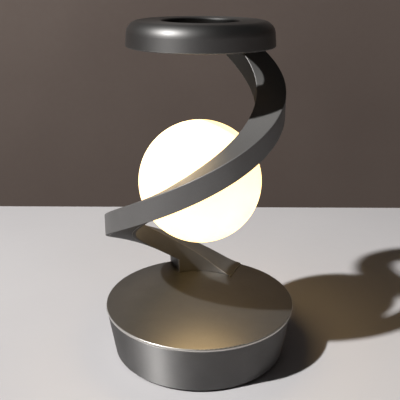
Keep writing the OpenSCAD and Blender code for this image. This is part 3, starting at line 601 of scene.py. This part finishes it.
# Spiral arm: one moulded ABS arm in graphite paint. It eases up off the turntable, climbs just
# under one turn round the globe and draws in to the ring. Its wire channel is open below.
# Lengths of the arm and its strip are in millimetres, and angles in degrees.
low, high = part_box("spiral_arm")
plate_top = low.z / MM
ring_under = high.z / MM
arm_rise = ring_under - plate_top
arm_start = 78.0
arm_sweep = 339.0
arm_bow = 0.06
arm_flare = 2.4
arm_height = 11.4
arm_foot_width = 16.6
arm_top_width = 13.4
arm_foot_radius = 49.6
arm_top_radius = 35.0
arm_wall = 2.0
arm_roof = 1.8
arm_edge = 0.45
arm_tip = 0.8
arm_ease = 4.7
arm_step = 1.25
toe_width = 2.0
toe_skew = 5.0
nick = 0.4
closed_groove = 0.1
foot_span = 33.0
foot_end = arm_start + foot_span
low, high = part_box("globe_outer_half")
globe_height = (low.z + high.z) / 2 / MM
globe_radius = (high.z - low.z) / 2 / MM
globe_gap = 0.4


def arm_share(angle):
    """Share of the arm's turn at an angle."""
    return (angle - arm_start) / arm_sweep


def arm_middle(angle):
    """Height of the arm's middle line, which bows a little above a straight climb."""
    return plate_top + arm_rise * arm_share(angle) * (1 + arm_bow * (1 - arm_share(angle)))


def arm_angle(height):
    """Angle at which the arm's middle line has a height."""
    climb = (height - plate_top) / arm_rise
    slope = 1 + arm_bow
    return arm_start + arm_sweep * 2 * climb / (slope + sqrt(slope ** 2 - 4 * arm_bow * climb))


arm_first = arm_angle(plate_top + arm_tip - arm_height / 2 - arm_ease)
arm_crease = arm_angle(ring_under - arm_height / 2)
arm_last = arm_angle(ring_under - arm_tip + arm_height / 2)
channel_overlap = 12
channel_stop = 3
channel_first = foot_end - channel_overlap
channel_last = arm_crease - channel_stop


def toe_share(angle):
    """Share of the way from the arm's start back to the tip of its toe."""
    return max(0.0, (arm_start - angle) / (arm_start - arm_first))


def eased(climb, width):
    """A climb whose start is rounded off over a width on either side of 0."""
    if abs(climb) >= width:
        return max(climb, 0)
    return (climb + width) ** 2 / (4 * width)


def arm_low(angle):
    """Height of the arm's lower side."""
    return plate_top if angle <= foot_end else arm_middle(angle) - arm_height / 2


def arm_high(angle):
    """Height of the arm's upper side."""
    climb = arm_middle(angle) + arm_height / 2 - plate_top - arm_tip
    return min(ring_under, plate_top + arm_tip + eased(climb, arm_ease))


def arm_outside(angle):
    """Radius of the arm's outer side."""
    drawn_in = min(max(arm_share(angle), 0), 1) ** arm_flare
    return arm_foot_radius - (arm_foot_radius - arm_top_radius) * drawn_in


def arm_inside(angle):
    """Radius of the arm's inner side, hollowed where the globe comes close."""
    width = arm_foot_width + (arm_top_width - arm_foot_width) * arm_share(angle)
    width += toe_width * toe_share(angle) ** 2
    gap = max(arm_low(angle) - globe_height, globe_height - arm_high(angle), 0)
    reach = sqrt(globe_radius ** 2 - gap ** 2) + globe_gap if gap < globe_radius else 0
    return max(arm_outside(angle) - width, reach)


def stations(stops, step):
    """Angles through a list of stops in even steps."""
    made = []
    for one, two in zip(stops, stops[1:]):
        count = max(1, ceil((two - one) / step))
        made += [one + (two - one) * k / count for k in range(count)]
    return made + [stops[-1]]


def arm_section(angle):
    """Outline of the arm at an angle, with its channel and rounded edges."""
    inside, outside = arm_inside(angle), arm_outside(angle)
    low, high = arm_low(angle), arm_high(angle)
    inner_wall, outer_wall = inside + arm_wall, outside - arm_wall
    edge = min(arm_edge, (high - low) / 4)
    roof = high - arm_roof if channel_first <= angle <= channel_last else low + closed_groove
    line = arc(inside + edge, low + edge, edge, 180)
    line += [(inner_wall, low), (inner_wall, roof), (outer_wall, roof), (outer_wall, low)]
    line += arc(outside - edge, low + edge, edge, 270)
    line += arc(outside - edge, high - edge, edge, 0)
    line += arc(inside + edge, high - edge, edge, 90)
    skew = toe_skew * toe_share(angle) ** 2 / (outside - inside)
    return [(radius, angle + skew * (radius - inside), height) for radius, height in line]


def loft(sections):
    """Closed skin over sections given as radius, angle and height."""
    shape = bmesh.new()
    loops = []
    for section in sections:
        loop = []
        for radius, angle, height in section:
            turn = radians(angle)
            loop.append(shape.verts.new(Vector((radius * cos(turn), radius * sin(turn), height)) * MM))
        loops.append(loop)
    bridge(shape, loops)
    shape.faces.new(loops[0])
    shape.faces.new(loops[-1])
    return shape


# The arm's paint carries painted shade on its inner walls and downward faces, and painted highlight along its
# edges.
graphite = satin_paint("graphite_satin_paint", (0.21, 0.207, 0.205), metal=0.72, smooth=0.52, rough=0.56)
arm_stops = [arm_first, channel_first - nick, channel_first, foot_end, foot_end + nick,
             channel_last, channel_last + nick, arm_crease, arm_last]
arm_sections = [arm_section(angle) for angle in stations(arm_stops, arm_step)]
arm_skin = new_piece("spiral_arm_skin", loft(arm_sections), graphite)
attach(arm_skin, "turning_head")
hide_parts("spiral_arm")
dress(steel, "foot_screws")


# Arm strip: a slim moulded strip in the graphite paint, darkened as painted shade, pushed into the
# arm's channel from below. It hides the lead and is turned down to the turntable at the foot.
strip_gap = 0.2
strip_edge = 0.2
strip_lift = 0.1
strip_turn = 2.5


def strip_section(angle):
    """Outline of the strip at an angle, rounded along its lower edges."""
    level = arm_middle(angle) - arm_height / 2
    low = plate_top + strip_lift if angle <= foot_end else level
    inside = arm_inside(angle) + arm_wall + strip_gap
    outside = arm_outside(angle) - arm_wall - strip_gap
    line = arc(inside + strip_edge, low + strip_edge, strip_edge, 180, steps=2)
    line += arc(outside - strip_edge, low + strip_edge, strip_edge, 270, steps=2)
    line += [(outside, level + arm_roof), (inside, level + arm_roof)]
    return [(radius, angle, height) for radius, height in line]


# Painted shade: the strip's paint is a darker copy of the arm's, for its lower face and end face.
strip_painted_shade_graphite = satin_paint("strip_painted_shade_paint", (0.1, 0.098, 0.097), metal=0.72, smooth=0.52, rough=0.56)
strip_stops = [foot_end - strip_turn, foot_end, foot_end + nick, channel_last - nick]
strip_sections = [strip_section(angle) for angle in stations(strip_stops, arm_step)]
strip_skin = new_piece("arm_strip_skin", loft(strip_sections), strip_painted_shade_graphite)
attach(strip_skin, "turning_head")
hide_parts("arm_strip")


# Lamp lead: a twin wire in a soft cream jacket, from the slip ring through the turntable and up
# inside the arm to the lamp holder.
lead_jacket = speckled("lead_jacket", tones=((0.62, 0.58, 0.5), (0.74, 0.7, 0.62)), roughness=(0.5, 0.64),
                       size_mm=1.5, detail=3)
dress(lead_jacket, "lamp_lead")


# Light source: eight warm white chips on a small white board, held in the middle of the globe by
# a nylon holder that snaps through the inner wall of the arm.
white_board = speckled("white_board", tones=((0.8, 0.8, 0.78), (0.87, 0.87, 0.85)), roughness=(0.25, 0.38),
                       size_mm=0.6, detail=2)
dress(white_board, "led_board")
dress(white_nylon, "lamp_holder")
led_phosphor = speckled("led_phosphor", tones=((0.88, 0.7, 0.22), (0.97, 0.82, 0.38)), roughness=(0.25, 0.4),
                        size_mm=0.3, detail=3)
shader = led_phosphor.node_tree.nodes["Principled BSDF"]
shader.inputs["Emission Color"].default_value = (1.0, 0.8, 0.5, 1)
shader.inputs["Emission Strength"].default_value = 5.0
dress(led_phosphor, "leds")


# Globe: two blown opal acrylic shells welded at a seam, lit warm white from inside. The skin is
# smooth, and its milky wall spreads the light evenly.
opal, tree, shader, place = new_finish("opal_acrylic")
milk = between(tree, grain(tree, place, size_mm=18), 0, 1)
tint(tree, shader, milk, (0.93, 0.86, 0.74), (0.97, 0.91, 0.8))
roughen(tree, shader, grain(tree, place, size_mm=2.5), smooth=0.24, rough=0.3)
glow = two_tone(tree, milk, (1.0, 0.64, 0.25), (1.0, 0.68, 0.28))
tree.links.new(glow, shader.inputs["Emission Color"])
shader.inputs["Emission Strength"].default_value = 2.7
dress(opal, "globe_arm_half", "globe_outer_half")


# Ring plate: the flat ring that closes the top ring from below, moulded in dark ABS and left bare.
# Two screws from its upper side hold the arm, and three from below hold it in the ring.
dress(dark_plastic, "ring_plate")
dress(steel, "arm_top_screws")


# Top ring: a moulded ABS ring with a wide rounded shoulder, a leaning side wall and a plain hole,
# in the graphite paint darkened as painted shade, with a light brushed grain. Its three screws sit sunk in
# the ring plate.
# Painted shade: the ring's paint is a darker copy of the arm's graphite.
ring_painted_shade_graphite = satin_paint("ring_painted_shade_satin_paint", (0.185, 0.183, 0.182), metal=1.0,
                            smooth=0.47, rough=0.51, brushed=0.3)
dress(ring_painted_shade_graphite, "top_ring")
low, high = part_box("ring_screws")
ring_screw_circle = high.x - head_radius
ring_screw_angles = (0, 120, 240)
screw_row("ring_screws_cross", "ring_screws", ring_screw_circle, ring_screw_angles, low, high, "turning_head")
